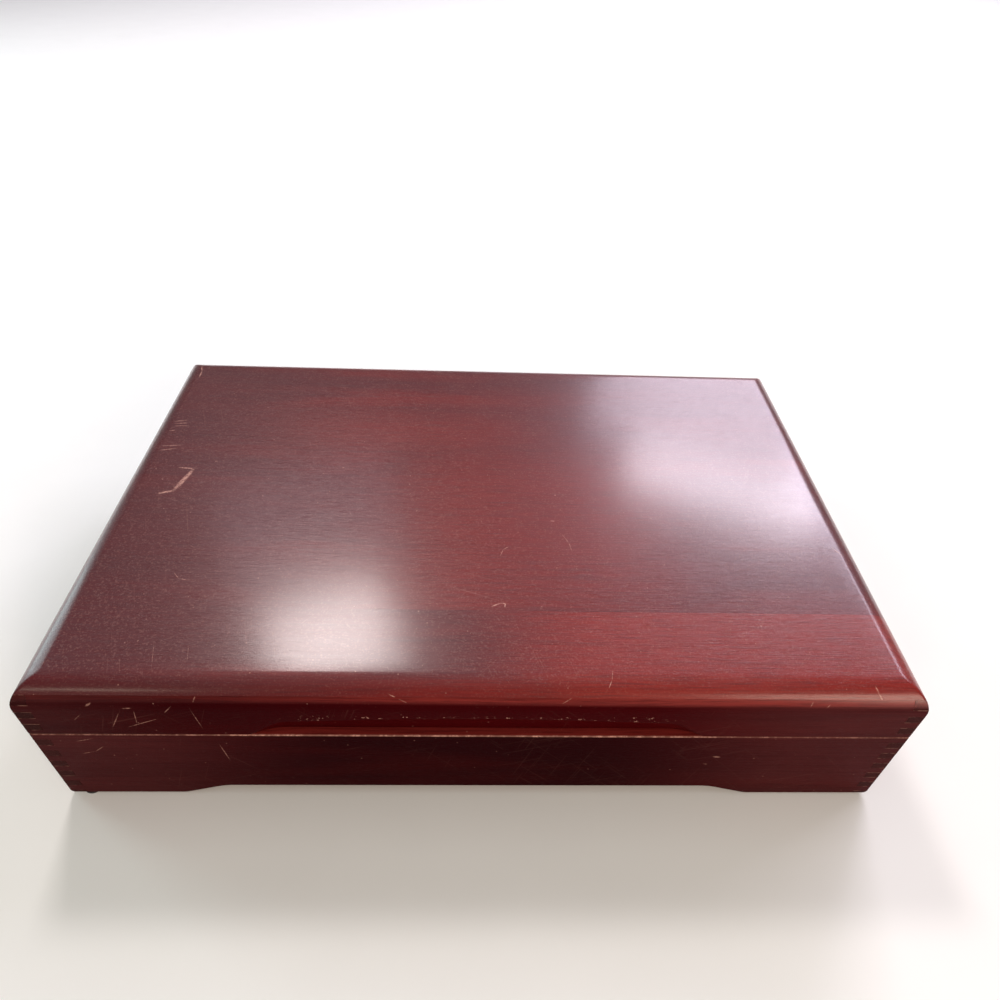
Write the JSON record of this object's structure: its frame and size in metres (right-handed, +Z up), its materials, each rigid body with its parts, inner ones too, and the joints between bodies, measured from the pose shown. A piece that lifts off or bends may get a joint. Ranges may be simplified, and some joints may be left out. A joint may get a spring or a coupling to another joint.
{
  "type": "silverware chest",
  "caption": "Finger-jointed wooden silverware chest with a hinged rounded lid, coved finger pull, arched front foot, cloth lining and notched racks for knives, forks and spoons.",
  "frame": {"origin": "middle of the chest in plan, on the surface that the foot pads stand on", "axes": "+X to the chest's right along its width, +Y to its back where the hinges are, +Z up"},
  "size_m": [0.4064, 0.27, 0.0887],
  "materials": {
    "mahogany_top": "satin lacquer over dark red-brown mahogany stain",
    "mahogany_dark": "satin lacquer over very dark red-brown stain, dark end grain at the corners",
    "panel_wood": "bare thin panel",
    "lining_cloth": "short-pile brown anti-tarnish cloth over card",
    "brass": "polished, slightly dulled",
    "rubber_pad": "matt black"
  },
  "bodies": {
    "base": {"base_front_wall": "mahogany_dark", "base_back_wall": "mahogany_dark", "base_left_wall": "mahogany_dark", "base_right_wall": "mahogany_dark", "base_bottom_panel": "panel_wood", "foot_pad_front_left": "rubber_pad", "foot_pad_front_right": "rubber_pad", "foot_pad_back_left": "rubber_pad", "foot_pad_back_right": "rubber_pad", "base_floor_pad": "lining_cloth", "base_front_lining": "lining_cloth", "base_back_lining": "lining_cloth", "base_left_lining": "lining_cloth", "base_right_lining": "lining_cloth", "flatware_rack_front": "lining_cloth", "flatware_rack_back": "lining_cloth", "compartment_divider": "lining_cloth", "hinge_base_leaf_left": "brass", "hinge_base_leaf_right": "brass", "hinge_pin_left": "brass", "hinge_pin_right": "brass", "hinge_base_screws": "brass"},
    "lid": {"lid_top_front_board": "mahogany_top", "lid_top_rear_board": "mahogany_top", "lid_front_wall": "mahogany_dark", "lid_back_wall": "mahogany_dark", "lid_left_wall": "mahogany_dark", "lid_right_wall": "mahogany_dark", "lid_top_lining": "lining_cloth", "lid_front_lining": "lining_cloth", "lid_back_lining": "lining_cloth", "lid_left_lining": "lining_cloth", "lid_right_lining": "lining_cloth", "knife_handle_rack": "lining_cloth", "knife_blade_rack": "lining_cloth", "hinge_lid_leaf_left": "brass", "hinge_lid_leaf_right": "brass", "hinge_lid_screws": "brass"}
  },
  "joints": [
    {"name": "lid_hinge", "type": "hinge", "parent": "base", "child": "lid", "pos_m": [0, 0.133, 0.0564], "axis": [-1, 0, 0], "range_deg": [0, 95]}
  ]
}
